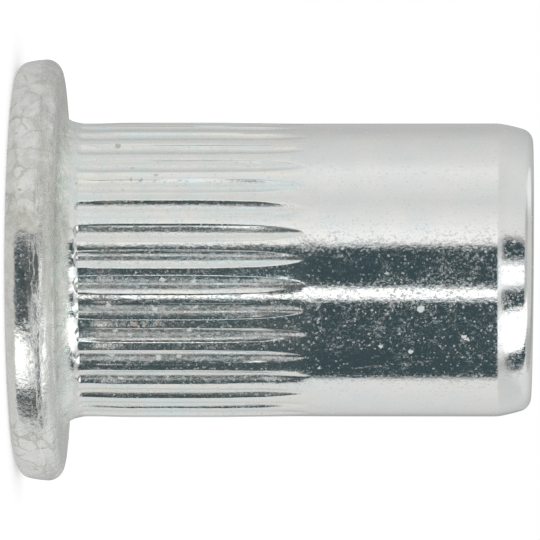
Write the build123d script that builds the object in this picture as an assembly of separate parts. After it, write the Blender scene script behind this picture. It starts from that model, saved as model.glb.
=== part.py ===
from build123d import *
import math
import os

# An M6 rivet nut: a turned sleeve with a flat round flange, a fluted shank and an open threaded end.
# It stands on the outer face of its flange, centred on the origin, with the threaded end up (+Z).
# All sizes are in millimetres and angles in degrees.

# Whole nut
total_length = 15.84

# Flange: the rim leans outward from the face to its widest line, just under the back corner
flange_d = 12.96
flange_thickness = 1.35
rim_lean = 8.8
rim_front_round = 0.37
rim_back_round = 0.40

# Shank: a fluted band next to the flange that stands a little proud, then the plain part
shank_d = 9.0
fluted_band_d = 9.064
band_past_flutes = 0.10
band_fall_length = 0.40

# Root: its round takes this share of the step from the band out to the rim, so a flat seat stays
root_round_share = 0.30
root_round = root_round_share * (flange_d - fluted_band_d) / 2

# Threaded end: a slight taper with a rounded corner
end_taper_length = 1.06
end_taper_angle = 14.0
end_round = 0.43

# Inside: wide clearance bore from the flange, drill-point shoulder, then the tapping hole for M6
clearance_bore_d = 7.0
clearance_bore_depth = 9.2
shoulder_point_angle = 120.0
tap_hole_d = 5.0
mouth_chamfer = 0.25
thread_chamfer = 0.60

# Flutes: shallow round grooves along the band, with a short ramp at the flange end and a long one above
flute_count = 36
flute_first_angle = 5.8
flute_round = 0.455
flute_depth = 0.115
flute_length = 6.95
flute_fade_length = 1.55
flute_ramp_angle = 30.0
flute_start_past_root = 0.016
flute_start_z = flange_thickness + root_round + flute_start_past_root
flute_end_z = flute_start_z + flute_length


def rim_radius_at(z):
    """Radius of the leaning rim line at a height, before its corners are rounded."""
    lean = math.radians(rim_lean)
    round_centre_r = flange_d / 2 - rim_back_round
    round_centre_z = flange_thickness - rim_back_round
    return round_centre_r + rim_back_round / math.cos(lean) + (z - round_centre_z) * math.tan(lean)


def rim_front_corner():
    """The rim's front corner, its round followed by two flat bevels."""
    half_turn = math.radians(90 - rim_lean) / 2
    reach = rim_front_round * math.tan(half_turn)
    depth = rim_front_round * (1 / math.cos(half_turn) - 1)
    rim_end_z = reach * math.cos(math.radians(rim_lean))
    return [
        (rim_radius_at(0) - reach, 0),
        (rim_radius_at(0) - depth * math.sin(half_turn), depth * math.cos(half_turn)),
        (rim_radius_at(rim_end_z), rim_end_z),
    ]


def rounded(section, corner, radius):
    """The section with its corner at this (radius, height) rounded."""
    nearest = section.vertices().sort_by_distance(corner)[0]
    return fillet(nearest, radius)


def half_section():
    """Half of the nut's long section, from the bore to the outside, flange at the bottom."""
    bore_r = clearance_bore_d / 2
    tap_r = tap_hole_d / 2
    shank_r = shank_d / 2
    shoulder_height = (bore_r - tap_r) / math.tan(math.radians(shoulder_point_angle / 2))
    taper_start_z = total_length - end_taper_length
    end_r = shank_r - end_taper_length * math.tan(math.radians(end_taper_angle))

    rim_back = (rim_radius_at(flange_thickness), flange_thickness)
    root = (fluted_band_d / 2, flange_thickness)
    end_corner = (end_r, total_length)

    inside = [
        (tap_r + thread_chamfer, total_length),
        (tap_r, total_length - thread_chamfer),
        (tap_r, clearance_bore_depth + shoulder_height),
        (bore_r, clearance_bore_depth),
        (bore_r, mouth_chamfer),
        (bore_r + mouth_chamfer, 0),
    ]
    outside = [
        *rim_front_corner(),
        rim_back,
        root,
        (fluted_band_d / 2, flute_end_z + band_past_flutes),
        (shank_r, flute_end_z + band_past_flutes + band_fall_length),
        (shank_r, taper_start_z),
        end_corner,
    ]
    section = make_face(Polyline(*inside, *outside, close=True))
    section = rounded(section, rim_back, rim_back_round)
    section = rounded(section, root, root_round)
    section = rounded(section, end_corner, end_round)
    return section


def flute_cutter():
    """Round bar that cuts one flute: a short blunt point for the ramp and a long one that fades it out."""
    axis_r = fluted_band_d / 2 - flute_depth + flute_round
    ramp_slope = math.tan(math.radians(flute_ramp_angle))
    fade_slope = flute_depth / flute_fade_length
    blunt_round = flute_round / 2
    straight_start_z = flute_start_z + flute_depth / ramp_slope
    lower_end_z = straight_start_z - (flute_round - blunt_round) / ramp_slope
    straight_end_z = flute_end_z - flute_fade_length
    upper_end_z = straight_end_z + (flute_round - blunt_round) / fade_slope

    half_profile = Polyline(
        (0, lower_end_z),
        (blunt_round, lower_end_z),
        (flute_round, straight_start_z),
        (flute_round, straight_end_z),
        (blunt_round, upper_end_z),
        (0, upper_end_z),
        close=True,
    )
    bar = revolve(Plane.XZ * make_face(half_profile), Axis.Z)
    return Pos(axis_r, 0, 0) * bar


def fluted_nut():
    """The turned body with its ring of flutes."""
    body = revolve(Plane.XZ * half_section(), Axis.Z)
    cutter = flute_cutter()
    pitch_angle = 360 / flute_count
    cutters = [Rot(0, 0, flute_first_angle + i * pitch_angle) * cutter for i in range(flute_count)]
    return body - cutters


rivet_nut = fluted_nut()
os.makedirs("parts", exist_ok=True)
export_step(rivet_nut, "parts/rivet_nut.step")
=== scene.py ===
import math
import bpy
from mathutils import Matrix, Vector, noise


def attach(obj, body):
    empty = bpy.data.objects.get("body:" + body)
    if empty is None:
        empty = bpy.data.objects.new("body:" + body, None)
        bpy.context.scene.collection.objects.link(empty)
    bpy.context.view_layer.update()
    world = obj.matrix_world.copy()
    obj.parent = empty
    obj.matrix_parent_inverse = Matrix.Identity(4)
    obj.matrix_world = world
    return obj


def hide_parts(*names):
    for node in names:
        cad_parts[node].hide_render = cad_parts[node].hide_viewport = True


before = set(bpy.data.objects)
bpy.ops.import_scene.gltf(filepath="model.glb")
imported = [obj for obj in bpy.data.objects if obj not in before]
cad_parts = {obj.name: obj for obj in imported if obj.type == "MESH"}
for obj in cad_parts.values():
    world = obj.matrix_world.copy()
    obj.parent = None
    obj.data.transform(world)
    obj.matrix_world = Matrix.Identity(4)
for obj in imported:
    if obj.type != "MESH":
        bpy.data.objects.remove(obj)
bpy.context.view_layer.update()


# The rivet nut: one piece of mild steel, open at both ends. Its flange is upset, its flutes are rolled
# into the shank next to the flange, and its end is tapped M6. It is barrel plated with bright zinc, and
# stands on the flange. Lengths are in millimetres and angles in degrees until the mesh is made.

MM = 0.001

total_length = 15.84
end_out_of_square = 0.008

flange_r = 6.48
flange_thickness = 1.35
rim_front_round = 0.42
rim_back_round = 0.46
rim_front_lean = 14.0
rim_back_lean = 3.0
thick_side = Vector((0.35, -0.94, 0))
thick_side_rise = 0.058
flange_swell = 0.036
worn_corner_lift = 0.035
lump_height = 0.010
small_lump_height = 0.006
lumps_on_shank = 0.06

neck_r = 4.51
band_r = 4.535
shank_r = 4.5
root_round = 0.52
root_tail_round = 1.78
root_tail_lean = 14.0
root_tail_end_lean = 4.0
root_ripple = -0.005

end_bend_round = 1.1
end_bend_lean = 9.0
end_taper_round = 5.0
end_taper_lean = 17.0
end_round = 0.43

flute_count = 36
first_flute = 5.75
flute_depth = 0.084
flute_round = 0.48
flute_round_above = 0.34
flute_edge_blend = 0.036
foot_z = 1.89
foot_top_z = 2.04
foot_share = 0.80
full_depth_z = 2.9
tip_z = 8.97
tip_length = 1.42
tip_stagger = 0.04
flutes_stop_z = 9.2
plain_edge = 2.84

# Rings of the mesh up the shank as (first height, step, count): they lie close at the flutes' ends.
shank_rings = [(2.08, 0.046, 14), (2.75, 0.4, 11), (7.15, 0.075, 27), (9.6, 0.5, 10)]
inner_rings_per_mm = 18

true_inside_r = 3.7
clearance_r = 3.5
clearance_depth = 9.2
shoulder_lean = 60.0
tap_r = 2.5
thread_pitch = 1.0
thread_root_r = 3.02
thread_flat_share = 0.18
thread_flank_share = 0.68
mouth_chamfer = 0.25
thread_chamfer = 0.60


def sine(angle):
    return math.sin(math.radians(angle))


def cosine(angle):
    return math.cos(math.radians(angle))


def tangent(angle):
    return math.tan(math.radians(angle))


def ease(value, start, end):
    """0 at the start, 1 at the end, and smooth between them."""
    t = min(max((value - start) / (end - start), 0), 1)
    return t * t * (3 - 2 * t)


def arc(centre_r, centre_z, radius, start, end, steps):
    """Points of a round of the section, from one angle above the horizontal to another."""
    angles = [start + (end - start) * i / steps for i in range(steps + 1)]
    return [(centre_r + radius * cosine(a), centre_z + radius * sine(a)) for a in angles]


def straight(start, end, steps):
    """Points between two corners of the section, both left out."""
    (r0, z0), (r1, z1) = start, end
    return [(r0 + (r1 - r0) * i / steps, z0 + (z1 - z0) * i / steps) for i in range(1, steps)]


def flange_section():
    """From the flange's face round its crowned rim to the end of the root's round."""
    crown_low_z = rim_front_round * (1 - sine(rim_front_lean))
    crown_high_z = flange_thickness - rim_back_round * (1 + sine(rim_back_lean))
    crown_round = (crown_high_z - crown_low_z) / (sine(rim_front_lean) - sine(rim_back_lean))
    back_centre_r = flange_r - rim_back_round
    crown_centre_r = back_centre_r - (crown_round - rim_back_round) * cosine(rim_back_lean)
    crown_centre_z = crown_high_z + crown_round * sine(rim_back_lean)
    front_centre_r = crown_centre_r + (crown_round - rim_front_round) * cosine(rim_front_lean)
    front = arc(front_centre_r, rim_front_round, rim_front_round, -90, -rim_front_lean, 8)
    crown = arc(crown_centre_r, crown_centre_z, crown_round, -rim_front_lean, -rim_back_lean, 5)
    back = arc(back_centre_r, flange_thickness - rim_back_round, rim_back_round, -rim_back_lean, 90, 11)
    tail_r = neck_r + root_tail_round * cosine(root_tail_end_lean)
    root_step = root_tail_round - root_round
    root_r = tail_r - root_step * cosine(root_tail_lean)
    root_z = flange_thickness + root_round
    tail_z = root_z + root_step * sine(root_tail_lean)
    root = arc(root_r, root_z, root_round, 270, 180 + root_tail_lean, 10)
    tail = arc(tail_r, tail_z, root_tail_round, 180 + root_tail_lean, 180 + root_tail_end_lean, 6)
    face = [(r, 0.0) for r in (clearance_r + mouth_chamfer, 4.5, 5.2, 5.7)]
    return face + front + crown[1:-1] + back + straight(back[-1], root[0], 5) + root + tail[1:]


def land_r(z):
    """Radius of the shank between the flutes: it swells a little where they are rolled in."""
    return neck_r + (band_r - neck_r) * ease(z, 2.4, 3.4) + (shank_r - band_r) * ease(z, 6.0, 8.8)


def shank_section():
    """From the root's round to the end face's inner edge."""
    heights = [first + step * i for first, step, count in shank_rings for i in range(count)]
    shank = [(land_r(z), z) for z in heights]
    bend_step = end_taper_round - end_bend_round
    corner_step = end_taper_round - end_round
    taper_r = shank_r - end_bend_round - bend_step * cosine(end_bend_lean)
    corner_r = taper_r + corner_step * cosine(end_taper_lean)
    corner_z = total_length - end_round
    taper_z = corner_z - corner_step * sine(end_taper_lean)
    bend_z = taper_z + bend_step * sine(end_bend_lean)
    bend = arc(shank_r - end_bend_round, bend_z, end_bend_round, 0, end_bend_lean, 5)
    taper = arc(taper_r, taper_z, end_taper_round, end_bend_lean, end_taper_lean, 7)
    corner = arc(corner_r, corner_z, end_round, end_taper_lean, 90, 10)
    inner_edge = (tap_r + thread_chamfer, total_length)
    return shank + bend + taper[1:-1] + corner + straight(corner[-1], inner_edge, 3)


def flute_form(z):
    """Depth and round of the flutes at a height: they run out at the root, and in a blunt tip above."""
    foot = foot_share * ease(z, foot_z, foot_top_z) + (1 - foot_share) * ease(z, foot_top_z, full_depth_z)
    tip = min(max((tip_z - z) / tip_length, 0), 1)
    ridge = flute_round + (flute_round_above - flute_round) * ease(z, 5.5, 7.9)
    return flute_depth * foot * tip, ridge


def fluted_r(land, angle, z):
    """Radius of the shank at an angle from a flute's middle, with the flute's edges rounded over."""
    depth, ridge = flute_form(z)
    ridge_axis_r = land - depth + ridge
    across = ridge_axis_r * sine(angle)
    if depth == 0 or ridge <= abs(across):
        return land
    groove = ridge_axis_r * cosine(angle) - math.sqrt(ridge ** 2 - across ** 2)
    blend = min(flute_edge_blend, depth)
    near = max(blend - abs(land - groove), 0) / blend
    return min(land, groove) - near * near * blend / 4


def mesh_lines(z):
    """Angles of one flute's 16 mesh lines from its middle: they follow its edges along the shank."""
    edge = plain_edge
    if foot_z < z < flutes_stop_z:
        depth, ridge = flute_form(z)
        land = land_r(z)
        ridge_axis_r = land - depth + ridge
        closeness = (land ** 2 + ridge_axis_r ** 2 - ridge ** 2) / (2 * land * ridge_axis_r)
        edge = max(math.degrees(math.acos(min(closeness, 1))), 1.0)
    half = [edge * share for share in (0.3, 0.56, 0.76, 0.88, 1.0, 1.1, 1.2)]
    return [-5] + [-a for a in reversed(half)] + [0] + half


def outer_ring(r, z):
    """One ring of points round the outside, as (radius, angle, height)."""
    fluted = foot_z < z < flutes_stop_z
    ring = []
    for number in range(flute_count):
        own_z = z + tip_stagger * math.sin(number * 12.9) if z > tip_z - tip_length else z
        for angle in mesh_lines(z):
            radius = fluted_r(r, angle, own_z) if fluted else r
            ring.append((radius, first_flute + 360 * number / flute_count + angle, z))
    return ring


def thread_r(z, turn):
    """Radius of the tapped thread: narrow flat crests, and flanks a little over 60 degrees apart."""
    phase = (z / thread_pitch - turn / 360) % 1.0
    rise = (0.5 - abs(phase - 0.5)) * 2
    depth = min(max((rise - thread_flat_share) / thread_flank_share, 0), 1)
    return tap_r + (thread_root_r - tap_r) * depth


def inner_section():
    """From the threaded end down to the flange's mouth, as (radius, height) points."""
    points = [(tap_r + thread_chamfer, total_length)]
    threaded = total_length - clearance_depth
    steps = round(threaded * inner_rings_per_mm)
    for i in range(1, steps + 1):
        z = total_length - threaded * i / steps
        chamfer = tap_r + z - (total_length - thread_chamfer)
        shoulder = clearance_r - (z - clearance_depth) * tangent(shoulder_lean)
        points.append((max(tap_r, chamfer, shoulder), z))
    mouth = (clearance_r, mouth_chamfer)
    return points + straight(points[-1], mouth, 10) + [mouth, (clearance_r + mouth_chamfer, 0.0)]


def inner_ring(r, z):
    """One ring round the inside, on every fourth line of the outside."""
    ring = []
    for number in range(flute_count):
        for angle in mesh_lines(flutes_stop_z)[::4]:
            turn = first_flute + 360 * number / flute_count + angle
            threaded = clearance_depth < z < total_length
            ring.append((max(r, thread_r(z, turn)) if threaded else r, turn, z))
    return ring


def rolled(radius, turn, z):
    """Where a point ends up in the real piece, which is not turned as true as its section.

    The flange's back stands higher on its thick side, one side of its face is worn, the rim and the root
    are lumpy, and the threaded end isn't quite square. The bores are left true.
    """
    spot = Vector((radius * cosine(turn), radius * sine(turn), z))
    side = spot.dot(thick_side) / flange_r
    rise = ease(z, 0.25, 0.85) * (1 - ease(z, 1.45, 2.7))
    lean = ease(z, 14.0, 15.5) * (spot.x + shank_r)
    spot.z += (flange_swell + thick_side_rise * side) * rise - end_out_of_square * lean
    if radius < true_inside_r or z == 0:
        return spot
    spot.z += worn_corner_lift * max(spot.x, 0) / flange_r * (1 - ease(z, 0.0, 0.8))
    flange = 1 - ease(z, 1.5, 2.3)
    lumps = noise.noise(spot * 0.7) * lump_height + noise.noise(spot * 1.7) * small_lump_height
    lumps *= lumps_on_shank + (1 - lumps_on_shank) * flange
    root = ease(z, 1.4, 1.7) * (1 - ease(z, 1.8, 2.1))
    ripple = root_ripple * cosine(flute_count * (turn - first_flute)) * root
    scale = min(radius + lumps + ripple, flange_r) / radius
    return Vector((spot.x * scale, spot.y * scale, spot.z))


outer = [outer_ring(r, z) for r, z in flange_section() + shank_section()]
inner = [inner_ring(r, z) for r, z in inner_section()]
points = [rolled(*point) for ring in outer + inner for point in ring]
wide = flute_count * 16
narrow = flute_count * 4
inner_start = len(outer) * wide
faces = []


def skin(start, rows, count):
    """Faces between rings of the same count, from one ring's first point on."""
    for row in range(rows - 1):
        low = start + row * count
        for i in range(count):
            j = (i + 1) % count
            faces.append((low + i, low + j, low + count + j, low + count + i))


skin(0, len(outer), wide)
skin(inner_start, len(inner), narrow)
end_ring = (len(outer) - 1) * wide
mouth_ring = inner_start + (len(inner) - 1) * narrow
for i in range(narrow):
    j = (i + 1) % narrow
    across = [(4 * i + step) % wide for step in range(5)]
    faces.append((*[end_ring + k for k in across], inner_start + j, inner_start + i))
    faces.append((mouth_ring + i, mouth_ring + j, *reversed(across)))

nut_mesh = bpy.data.meshes.new("rivet_nut_plated")
nut_mesh.from_pydata([point * MM for point in points], [], faces)
nut_mesh.shade_smooth()
nut_mesh.set_sharp_from_angle(angle=math.radians(38))
nut = bpy.data.objects.new("rivet_nut_plated", nut_mesh)
bpy.context.collection.objects.link(nut)

plating = bpy.data.materials.new("bright_zinc_plating")
plating.use_nodes = True
metal = plating.node_tree.nodes["Principled BSDF"]


def add_node(tree, kind, inputs, out=0, **settings):
    """One node with its inputs linked or set, and the output that is read from it."""
    node = tree.nodes.new("ShaderNode" + kind)
    for name, value in settings.items():
        setattr(node, name, value)
    for name, value in inputs.items():
        if isinstance(value, bpy.types.NodeSocket):
            tree.links.new(value, node.inputs[name])
        else:
            node.inputs[name].default_value = value
    return node.outputs[out]


def put(kind, inputs, out=0, **settings):
    """One node of the plating."""
    return add_node(plating.node_tree, kind, inputs, out, **settings)


def calc(operation, first, second=0.0):
    return put("Math", {0: first, 1: second}, operation=operation)


def together(operation, values):
    """Several masks or heights taken together, from left to right."""
    result = values[0]
    for value in values[1:]:
        result = calc(operation, result, value)
    return result


def times(*values):
    return together("MULTIPLY", values)


def most(*values):
    return together("MAXIMUM", values)


def total(*values):
    return together("ADD", values)


def stretched(where, factors):
    return put("VectorMath", {0: where, 1: factors}, operation="MULTIPLY")


def clouds(where, scale, detail=2.0, roughness=0.5, out=0):
    sizes = {"Vector": where, "Scale": scale, "Detail": detail, "Roughness": roughness}
    return put("TexNoise", sizes, out=out)


def pushed(where, push, reach):
    """Places moved about by a noise, so that what is drawn on them has uneven edges."""
    return put("VectorMath", {0: push, 1: reach, 2: where}, operation="MULTIPLY_ADD")


def within(value, start, end, low=0.0, high=1.0):
    """One value before the start and another past the end, smooth between them."""
    limits = {"Value": value, "From Min": start, "From Max": end, "To Min": low, "To Max": high}
    return put("MapRange", limits, interpolation_type="SMOOTHSTEP")


def tint(share, first, second):
    """Two colours mixed by a share."""
    return put("Mix", {0: share, 6: first, 7: second}, out=2, data_type="RGBA")


# Where a spot lies on the nut, in millimetres from the middle of the flange's face.
at = put("VectorMath", {0: put("TexCoord", {}, out=3), "Scale": 1 / MM}, operation="SCALE")
across_x = put("SeparateXYZ", {0: at})
across_y = put("SeparateXYZ", {0: at}, out=1)
up_the_nut = put("SeparateXYZ", {0: at}, out=2)
from_axis = put("VectorMath", {0: stretched(at, (1, 1, 0))}, out=1, operation="LENGTH")
turn_round = put("Math", {0: across_y, 1: across_x}, operation="ARCTAN2")
loose_edge = 0.20
loose = pushed(at, clouds(at, 9.0, 3.0, out=1), (loose_edge,) * 3)
unrolled = put("CombineXYZ", {0: calc("MULTIPLY", turn_round, shank_r), 1: up_the_nut})
unrolled = pushed(unrolled, clouds(at, 2.0, 3.0, out=1), (0.16, 0.16, 0))


def between(start, full, last_full, end):
    """1 between two heights on the nut, fading to 0 outside them."""
    return times(within(up_the_nut, start, full), within(up_the_nut, end, last_full))


def flecks(scale, smallest, largest, share, seed):
    """Scattered uneven flecks, sized in cells of the pattern, of which a share is kept, and their tone."""
    moved = put("VectorMath", {0: at, 1: seed}, operation="ADD")
    uneven = pushed(moved, clouds(moved, scale * 3.2, out=1), (1.15 / scale,) * 3)
    cell = put("TexVoronoi", {"Vector": uneven, "Scale": scale}, out=1)
    distance = put("TexVoronoi", {"Vector": uneven, "Scale": scale})
    chance = put("SeparateXYZ", {0: cell})
    tone = put("SeparateXYZ", {0: cell}, out=1)
    reach = within(chance, 1 - share, 1.0, -smallest, largest)
    return within(calc("SUBTRACT", reach, distance), 0.0, largest * 0.5), tone


def spots(places, radius=shank_r):
    """Small uneven marks on the side of the nut, each at a turn, a height and with a size."""
    marks = 0.0
    middle_shift = loose_edge / 2
    for turn, z, size in places:
        middle = (radius * cosine(turn) + middle_shift, radius * sine(turn) + middle_shift, z + middle_shift)
        away = put("VectorMath", {0: loose, 1: middle}, out=1, operation="DISTANCE")
        marks = calc("MAXIMUM", marks, within(away, size, 0.5 * size))
    return marks


def scratch(start, end, width):
    """A faint line between two places on the shank, each given as a turn and a height."""
    first, last = [Vector((shank_r * math.radians(turn - 360), z, 0)) for turn, z in (start, end)]
    way = (last - first).normalized()
    aside = Vector((-way.y, way.x, 0))
    offset = put("VectorMath", {0: unrolled, 1: first}, operation="SUBTRACT")
    on_line = put("VectorMath", {0: offset, 1: way}, out=1, operation="DOT_PRODUCT")
    off_line = calc("ABSOLUTE", put("VectorMath", {0: offset, 1: aside}, out=1, operation="DOT_PRODUCT"))
    length = (last - first).length
    reach = times(within(on_line, 0.0, 0.3), within(on_line, length, length - 0.3))
    return times(within(off_line, width, 0.2 * width), reach)


# The parts of the nut: the flange, the root behind it, the fluted band and the flutes themselves.
on_flange = within(up_the_nut, 2.0, 1.5)
in_corner = between(0.95, 1.30, 1.72, 1.92)
in_band = between(1.85, 2.1, 8.4, 9.6)
# Painted shade and light: the flange is painted darker towards -X and paler towards +X.
painted_shade_side = within(across_x, 1.5, -2.5)
painted_light_side = within(across_x, 0.5, 3.5)
flute_phase = math.pi - flute_count * math.radians(first_flute)
flute_wave = put("Math", {0: turn_round, 1: flute_count, 2: flute_phase}, operation="MULTIPLY_ADD")
in_flutes = times(within(calc("COSINE", flute_wave), 0.1, -0.5), between(1.9, 2.3, 7.8, 8.8))
facing = put("VectorMath", {0: at, 1: (0.26, -0.966, 0)}, out=1, operation="DOT_PRODUCT")
not_rubbed = within(facing, 5.1, 5.8, 1.0, 0.06)

# Fine marks all over: specks and grains of deposit, stains, and dust and grime that lie along the nut.
specks, speck_tone = flecks(8.5, 0.05, 0.42, 0.95, (0.0, 0.0, 0.0))
grains, grain_tone = flecks(4.2, 0.04, 0.24, 0.55, (3.1, 1.7, 0.4))
stains = flecks(0.75, 0.04, 0.10, 0.5, (7.7, 2.9, 5.2))[0]
dust = within(clouds(stretched(at, (1, 1, 0.7)), 11.0, 4.0, 0.85), 0.53, 0.65)
dust = times(dust, within(clouds(at, 1.2, 3.0), 0.35, 0.65, 0.25, 1.0))
dust_tone = within(clouds(at, 7.0, 1.0), 0.50, 0.60)
grime = times(within(clouds(stretched(at, (1, 1, 0.6)), 17.0, 3.0, 0.8), 0.47, 0.62), in_flutes)
drag = clouds(stretched(at, (1, 1, 0.3)), 16.0)

# Marks of this nut alone, each at its turn and height: dried drops, spots, glints, a crust and scratches.
dried_drops = spots([
    (274.0, 4.63, 0.10), (274.4, 5.57, 0.09), (283.6, 3.01, 0.11), (285.2, 2.44, 0.08), (285.6, 4.42, 0.11),
    (284.4, 5.63, 0.08), (294.4, 3.19, 0.10), (296.1, 3.64, 0.09), (293.9, 5.44, 0.10), (305.2, 3.07, 0.10),
    (306.1, 4.48, 0.12), (305.7, 5.11, 0.09), (316.6, 2.95, 0.08), (317.2, 3.31, 0.08), (285.2, 12.39, 0.13),
    (296.5, 13.68, 0.09), (297.6, 13.78, 0.07), (303.0, 12.1, 0.08), (301.0, 11.2, 0.07),
])
brown_spots = spots([(290.9, 3.78, 0.11), (291.0, 4.08, 0.08), (290.8, 4.48, 0.10), (234.0, 15.5, 0.08)])
green_spots = spots([
    (226.1, 3.67, 0.08), (230.7, 4.42, 0.09), (213.1, 3.19, 0.12), (232.7, 3.67, 0.07), (233.2, 3.97, 0.07),
    (237.0, 3.43, 0.08), (257.5, 3.10, 0.08),
])
rim_spots = spots([(255.8, 0.38, 0.09), (248.0, 0.45, 0.07), (213.0, 0.47, 0.08)], flange_r)
rim_glints = spots([
    (283.5, 0.62, 0.06), (285.0, 0.70, 0.07), (284.4, 0.50, 0.05), (286.6, 0.40, 0.06), (287.7, 0.33, 0.06),
    (278.0, 0.98, 0.11), (276.9, 0.93, 0.08), (279.1, 1.02, 0.07), (295.2, 0.80, 0.06),
], flange_r)
rim_crust = spots([(256.6, 0.62, 0.44), (254.5, 0.48, 0.30), (258.5, 0.80, 0.26)], flange_r)
scratches = most(scratch((281.0, 11.75), (297.0, 11.05), 0.10), scratch((312.5, 10.3), (308.5, 12.9), 0.05))
scratches = times(scratches, within(clouds(at, 9.0), 0.42, 0.66))

# The flange's own finish: wrinkles, painted shade round its back edge, crumbs, flakes with gaps, and a flaky
# root with painted glints.
wrinkles = within(clouds(stretched(unrolled, (1.1, 8.0, 1.0)), 1.0, 4.0, 0.65), 0.50, 0.66)
wrinkles = times(wrinkles, between(0.60, 0.95, 1.5, 1.9), within(painted_shade_side, 0.0, 1.0, 0.8, 1.0))
# Painted shade: a darker grey round the flange's back edge, on the -X side.
back_edge_shade = times(between(0.78, 1.05, 1.45, 1.75), painted_shade_side, within(clouds(at, 1.7, 4.0, 0.65), 0.30, 0.62))
crumbs, crumb_tone = flecks(2.1, 0.03, 0.16, 0.32, (1.9, 5.3, 8.8))
crumbs = times(crumbs, on_flange)
# The root's flakes are raised a little, and their palest, near-white ones are painted glints.
root_flakes_and_glints, root_flake_and_glint_tone = flecks(2.4, 0.06, 0.34, 0.6, (4.4, 8.1, 2.6))
root_flakes_and_glints = times(root_flakes_and_glints, in_corner)
flake_chance = put("SeparateXYZ", {0: put("TexVoronoi", {"Vector": loose, "Scale": 1.7}, out=1)})
pale_flakes = times(on_flange, within(flake_chance, 0.2, 0.9, 0.0, 0.5))
flake_gaps = put("TexVoronoi", {"Vector": loose, "Scale": 1.7}, feature="DISTANCE_TO_EDGE")
flake_gaps = times(
    within(flake_gaps, 0.09, 0.01), within(clouds(at, 1.1), 0.40, 0.58), not_rubbed, on_flange,
)

# A thin dark line along one edge of each flute, which follows the edge to the flute's tip.
tip_share = put("MapRange", {"Value": up_the_nut, "From Min": tip_z, "From Max": tip_z - tip_length})
edge_wave = times(calc("POWER", tip_share, 0.5), math.radians(flute_count * plain_edge))
edge_lines = calc("ABSOLUTE", total(calc("COSINE", flute_wave), calc("COSINE", edge_wave)))
edge_lines = times(
    within(edge_lines, 0.12, 0.03),
    within(calc("SINE", flute_wave), 0.0, 0.2),
    within(clouds(stretched(at, (1, 1, 0.25)), 1.6, 3.0), 0.44, 0.58),
    between(2.1, 2.5, 8.6, 8.85),
)

# Colour: bright zinc on the shank, dull and pale zinc on the flange, and a greenish film in the root.
clean = tint(within(clouds(at, 0.8, 3.0), 0.35, 0.65), (0.85, 0.845, 0.825, 1), (0.80, 0.825, 0.82, 1))
greener = times(within(clouds(at, 1.3, 3.0, 0.6), 0.48, 0.62), within(up_the_nut, 9.0, 4.0), 0.7)
clean = tint(greener, clean, (0.76, 0.84, 0.81, 1))
dull = tint(within(clouds(at, 2.6, 5.0, 0.72), 0.40, 0.60), (0.84, 0.84, 0.81, 1), (0.69, 0.69, 0.665, 1))
# Painted light: the dull zinc here, and the film below, are paler on the +X side.
dull = tint(times(painted_light_side, 0.45), dull, (0.91, 0.92, 0.89, 1))
dull = tint(times(wrinkles, 0.7), dull, (0.51, 0.51, 0.48, 1))
film = tint(within(clouds(at, 3.0, 5.0, 0.75), 0.42, 0.58), (0.84, 0.84, 0.79, 1), (0.58, 0.70, 0.64, 1))
film = tint(within(up_the_nut, 1.50, 1.36), film, (0.72, 0.72, 0.68, 1))
film = tint(times(painted_light_side, 0.35), film, (0.87, 0.91, 0.88, 1))
film = tint(times(wrinkles, 0.6), film, (0.50, 0.52, 0.48, 1))
sheen = clouds(stretched(at, (1, 1, 0.22)), 2.6)
cyan_sheen = times(in_band, within(sheen, 0.54, 0.68, 0.0, 0.7))
yellow_sheen = times(in_band, within(sheen, 0.46, 0.34, 0.0, 0.45))
dust_colour = tint(dust_tone, (0.64, 0.84, 0.90, 1), (0.90, 0.80, 0.76, 1))
crumb_colour = tint(crumb_tone, (0.50, 0.47, 0.34, 1), (0.42, 0.44, 0.42, 1))
root_flake_and_glint_colour = tint(root_flake_and_glint_tone, (0.95, 0.97, 0.95, 1), (0.48, 0.60, 0.54, 1))
speck_colour = tint(speck_tone, (0.50, 0.60, 0.64, 1), (0.68, 0.58, 0.55, 1))
grain_colour = tint(grain_tone, (0.62, 0.70, 0.74, 1), (0.80, 0.74, 0.70, 1))
crust_share = within(clouds(at, 3.5, 5.0, 0.75), 0.40, 0.60)
crust_colour = tint(crust_share, (0.76, 0.76, 0.70, 1), (0.58, 0.58, 0.51, 1))

# Layers from the lowest up: where each one lies, how much it covers there, and its own colour.
layers = [
    (on_flange, 1.0, dull),
    (in_corner, 0.85, film),
    (pale_flakes, 1.0, (0.90, 0.90, 0.87, 1)),
    (flake_gaps, 0.62, (0.50, 0.49, 0.40, 1)),
    (back_edge_shade, 0.65, (0.52, 0.52, 0.48, 1)),
    (in_band, 0.10, (0.66, 0.64, 0.54, 1)),
    (cyan_sheen, 1.0, (0.76, 0.86, 0.86, 1)),
    (yellow_sheen, 1.0, (0.87, 0.85, 0.77, 1)),
    (dust, 0.6, dust_colour),
    (edge_lines, 0.75, (0.26, 0.24, 0.20, 1)),
    (crumbs, 0.65, crumb_colour),
    (root_flakes_and_glints, 0.75, root_flake_and_glint_colour),
    (specks, 0.25, speck_colour),
    (grains, 0.75, grain_colour),
    (scratches, 0.5, (0.62, 0.56, 0.53, 1)),
    (most(stains, green_spots), 0.75, (0.46, 0.50, 0.42, 1)),
    (most(dried_drops, rim_glints), 1.0, (0.74, 0.77, 0.76, 1)),
    (brown_spots, 0.8, (0.42, 0.30, 0.21, 1)),
    (rim_spots, 0.8, (0.45, 0.30, 0.20, 1)),
    (rim_crust, 1.0, crust_colour),
]
colour = clean
for where, cover, shade in layers:
    colour = tint(times(where, cover), colour, shade)
plating.node_tree.links.new(colour, metal.inputs["Base Color"])

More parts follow.
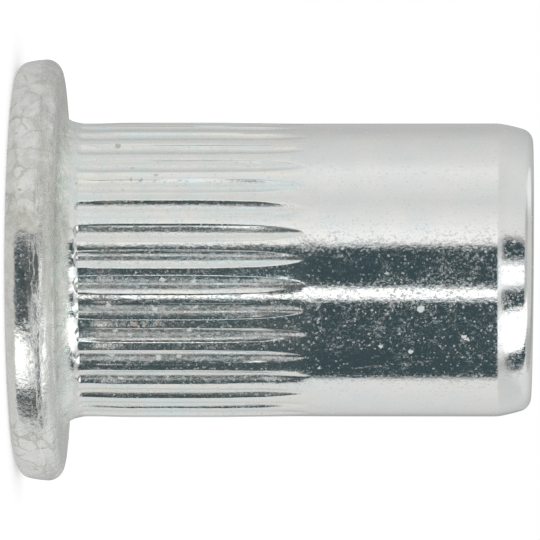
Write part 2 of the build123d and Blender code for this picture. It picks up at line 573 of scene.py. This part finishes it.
# Deposit: how far each mark hides the metal under it.
deposit = most(
    times(specks, within(speck_tone, 0.0, 1.0, 0.10, 0.42)), times(grains, 0.8), times(scratches, 0.4),
    times(in_corner, 0.32),
)
deposit = total(deposit, times(dust, within(in_flutes, 0.0, 1.0, 0.18, 0.30)), times(grime, 0.13))
deposit = most(
    deposit, times(in_band, 0.03), times(flake_gaps, 0.5), times(wrinkles, 0.3), times(root_flakes_and_glints, 0.5),
    stains, green_spots, brown_spots, rim_spots, rim_glints, dried_drops, rim_crust, crumbs, edge_lines,
)
plating.node_tree.links.new(calc("SUBTRACT", 1.0, times(deposit, 0.8)), metal.inputs["Metallic"])

# Roughness: the shank is bright, the flange duller, and the flutes hazy where the roll dragged.
frost = within(clouds(at, 10.0, 3.0, 0.65), 0.50, 0.72)
flute_haze = total(within(drag, 0.42, 0.66, 0.07, 0.16), within(clouds(at, 0.55), 0.42, 0.60, 0.0, 0.04))
roughness = total(
    within(on_flange, 0.0, 1.0, 0.07, 0.17), times(frost, 0.12), times(specks, 0.15), times(deposit, 0.3),
    times(in_band, 0.02), times(in_flutes, flute_haze),
)
plating.node_tree.links.new(roughness, metal.inputs["Roughness"])

# Fine relief, as heights in millimetres: the metal's own skin first, then what lies on it.
skin_relief = times(clouds(at, 8.0, 3.0, 0.6), within(on_flange, 0.0, 1.0, 0.0024, 0.007))
waves = times(clouds(at, 2.2), within(on_flange, 0.0, 1.0, 0.0015, 0.013))
lumps = times(on_flange, clouds(at, 3.6, 4.0, 0.7), within(not_rubbed, 0.0, 1.0, 0.007, 0.02))
ragged_flutes = times(in_band, clouds(stretched(at, (1, 1, 0.6)), 6.0, 3.0, 0.6), 0.0045)
film_relief = times(in_corner, clouds(at, 4.5, 4.0, 0.65), 0.022)
crust_relief = times(rim_crust, clouds(at, 3.5, 4.0, 0.6), 0.03)
drawn_streaks = times(clouds(stretched(at, (1, 1, 0.12)), 7.0), 0.0014)
turned_rings = times(clouds(put("CombineXYZ", {0: from_axis}), 9.0), 0.004)
height = total(
    skin_relief, drawn_streaks, waves, times(in_flutes, drag, 0.0020), ragged_flutes, crust_relief,
    times(wrinkles, -0.010), film_relief, times(root_flakes_and_glints, 0.012), times(dust, 0.0008), lumps,
    times(rim_glints, 0.01), turned_rings, times(dried_drops, 0.004),
)
bumped = put("Bump", {"Height": height, "Strength": 1.0, "Distance": MM})
plating.node_tree.links.new(bumped, metal.inputs["Normal"])
nut_mesh.materials.append(plating)

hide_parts("rivet_nut")
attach(nut, "root")


# The table: a sheet of white paper that the nut stands on. It takes the nut's soft shadow, and the
# metal shows the studio in its place, as if the nut stood on a narrow post.

table_half = 0.25
table_glow = 0.34
table_mesh = bpy.data.meshes.new("table")
table_corners = [(-1, -1), (1, -1), (1, 1), (-1, 1)]
table_mesh.from_pydata([(x * table_half, y * table_half, 0) for x, y in table_corners], [], [(0, 1, 2, 3)])
table = bpy.data.objects.new("table", table_mesh)
bpy.context.collection.objects.link(table)
table.visible_glossy = False

paper = bpy.data.materials.new("table_paper")
paper.use_nodes = True
sheet = paper.node_tree.nodes["Principled BSDF"]
sheet.inputs["Base Color"].default_value = (0.8, 0.8, 0.8, 1)
sheet.inputs["Roughness"].default_value = 1.0
sheet.inputs["Specular IOR Level"].default_value = 0.0
sheet.inputs["Emission Color"].default_value = (1, 1, 1, 1)
seen_by = paper.node_tree.nodes.new("ShaderNodeLightPath")
seen = seen_by.outputs["Is Camera Ray"]
for other_ray in ("Is Glossy Ray", "Is Transmission Ray"):
    seen = add_node(paper.node_tree, "Math", {0: seen, 1: seen_by.outputs[other_ray]}, operation="MAXIMUM")
glow = add_node(paper.node_tree, "Math", {0: seen, 1: table_glow}, operation="MULTIPLY")
paper.node_tree.links.new(glow, sheet.inputs["Emission Strength"])
table_mesh.materials.append(paper)


# The studio: a white room with black flags beside the camera. Lamps stand between them: a tall narrow
# one, and a wide one that is hidden at the nut's own height. Bearings run from the camera towards -X.

studio = bpy.data.worlds.new("studio")
bpy.context.scene.world = studio
studio.use_nodes = True
studio.node_tree.nodes.clear()


def hang(kind, inputs, out=0, **settings):
    """One node of the studio."""
    return add_node(studio.node_tree, kind, inputs, out, **settings)


looking = hang("TexCoord", {})
to_minus_x = hang("Math", {0: hang("SeparateXYZ", {0: looking}, out=0), 1: -1.0}, operation="MULTIPLY")
to_camera = hang("Math", {0: hang("SeparateXYZ", {0: looking}, out=1), 1: -1.0}, operation="MULTIPLY")
upward = hang("SeparateXYZ", {0: looking}, out=2)
bearing = hang("Math", {0: to_minus_x, 1: to_camera}, operation="ARCTAN2")
bearing = hang("Math", {0: bearing, 1: 1 / math.tau, 2: 0.5}, operation="MULTIPLY_ADD")

flag = (0.045, 0.074, 0.084)


def belt(stops):
    """The room's brightness round one belt: (bearing in degrees, grey) pairs in order."""
    ramp = studio.node_tree.nodes.new("ShaderNodeValToRGB")
    studio.node_tree.links.new(bearing, ramp.inputs[0])
    elements = ramp.color_ramp.elements
    elements.remove(elements[1])
    for number, (angle, shade) in enumerate(stops):
        element = elements[0] if number == 0 else elements.new(0.5 + angle / 360)
        element.color = (*shade, 1) if isinstance(shade, tuple) else (shade, shade, shade, 1)
    return ramp.outputs["Color"]


# The belts: one at the nut's own height, three above it (ring, raised, high) and two below.
level = belt([
    (-180, 0.32), (-165, 0.42), (-150, 0.66), (-130, 0.76), (-100, 0.83), (-95.5, 0.80), (-92.8, flag),
    (-23.2, flag), (-22, 1.5), (-14.6, 1.5), (-13.4, flag), (18.2, flag), (20, 1.0), (27, 1.04),
    (38, 0.89), (55, 0.75), (68, 0.83), (84, 0.92), (94, 0.80), (120, 0.70), (142, 0.56), (165, 0.55),
    (180, 0.32),
])
ring = belt([
    (-180, 0.45), (-140, 0.70), (-92, 0.68), (-81, 0.46), (-71, 0.85), (-62, 1.2), (-42, 1.2), (-34, 0.95),
    (-28, 0.58), (-20, 0.72), (-12, 1.12), (-4, 1.1), (4, 1.0), (11.5, 0.72), (19, 0.50), (27, 0.83),
    (55, 0.74), (100, 0.76), (140, 0.60), (180, 0.45),
])
raised = belt([
    (-180, 0.50), (-140, 0.74), (-96, 0.86), (-91, flag), (-75, flag), (-71, 1.6), (-36, 1.6),
    (-33, flag), (-19, flag), (-13, 1.0), (-8, 1.5), (2, 1.5), (7, 0.6), (11, flag), (23, flag),
    (30, 0.84), (60, 0.77), (90, 0.80), (130, 0.66), (180, 0.50),
])
high = belt([
    (-180, 0.36), (-150, 0.42), (-76, 0.52), (-70, 1.3), (-38, 1.3), (-32, 0.56), (60, 0.50), (95, 0.95),
    (140, 0.95), (160, 0.40), (180, 0.36),
])
lowered = belt([
    (-180, 0.60), (-120, 0.74), (-91, 0.76), (-86, flag), (-70, flag), (-67, 1.7), (-39, 1.7),
    (-36, flag), (17, flag), (21, 0.76), (60, 0.80), (120, 0.70), (180, 0.60),
])
sunken = belt([
    (-180, 0.60), (-120, 0.74), (-91, 0.76), (-86, 0.07), (-70, 0.07), (-65, 0.95), (-42, 0.95),
    (-36, 0.13), (16, 0.16), (22, 0.76), (60, 0.80), (120, 0.70), (180, 0.60),
])


def blended(start, end, first, second):
    """One part of the room below a height, given as a sine, and another above it."""
    limits = {"Value": upward, "From Min": start, "From Max": end}
    share = hang("MapRange", limits, interpolation_type="SMOOTHSTEP")
    return hang("Mix", {0: share, 6: first, 7: second}, out=2, data_type="RGBA")


floor_grey = (0.66, 0.66, 0.65, 1)
ceiling_grey = (0.68, 0.68, 0.67, 1)
room = blended(-0.62, -0.52, floor_grey, lowered)
room = blended(-0.36, -0.20, room, sunken)
room = blended(-0.13, -0.08, room, level)
room = blended(0.07, 0.13, room, ring)
room = blended(0.28, 0.37, room, raised)
room = blended(0.64, 0.72, room, high)
room = blended(0.85, 0.93, room, ceiling_grey)

seen_by = studio.node_tree.nodes.new("ShaderNodeLightPath")
soft_light = hang("Background", {"Color": (1, 1, 1, 1), "Strength": 0.95})
seen_room = hang("Background", {"Color": room})
seen_white = hang("Background", {"Color": (1, 1, 1, 1)})
mirrored = hang("MixShader", {0: seen_by.outputs["Is Glossy Ray"], 1: soft_light, 2: seen_room})
shown = hang("MixShader", {0: seen_by.outputs["Is Camera Ray"], 1: mirrored, 2: seen_white})
whole = studio.node_tree.nodes.new("ShaderNodeOutputWorld")
studio.node_tree.links.new(shown, whole.inputs["Surface"])


# The camera: level with the nut's side, a hand's width away, and turned so that the nut lies across
# the picture with its flange to the left.

camera_distance = 190.7 * MM
camera_rise = math.radians(1.6)
aim_height = 7.754 * MM
lens = bpy.data.cameras.new("camera")
lens.sensor_width = 36
lens.lens = 413.3
lens.clip_start = 0.01
lens.clip_end = 10
camera = bpy.data.objects.new("camera", lens)
bpy.context.collection.objects.link(camera)
towards_camera = Vector((0, -math.cos(camera_rise), math.sin(camera_rise)))
picture_up = Vector((-1, 0, 0))
picture_right = picture_up.cross(towards_camera)
turned = Matrix((picture_right, picture_up, towards_camera)).transposed().to_4x4()
stand = Vector((0, 0, aim_height)) + towards_camera * camera_distance
camera.matrix_world = Matrix.Translation(stand) @ turned
bpy.context.scene.camera = camera
bpy.context.scene.view_settings.view_transform = "Standard"
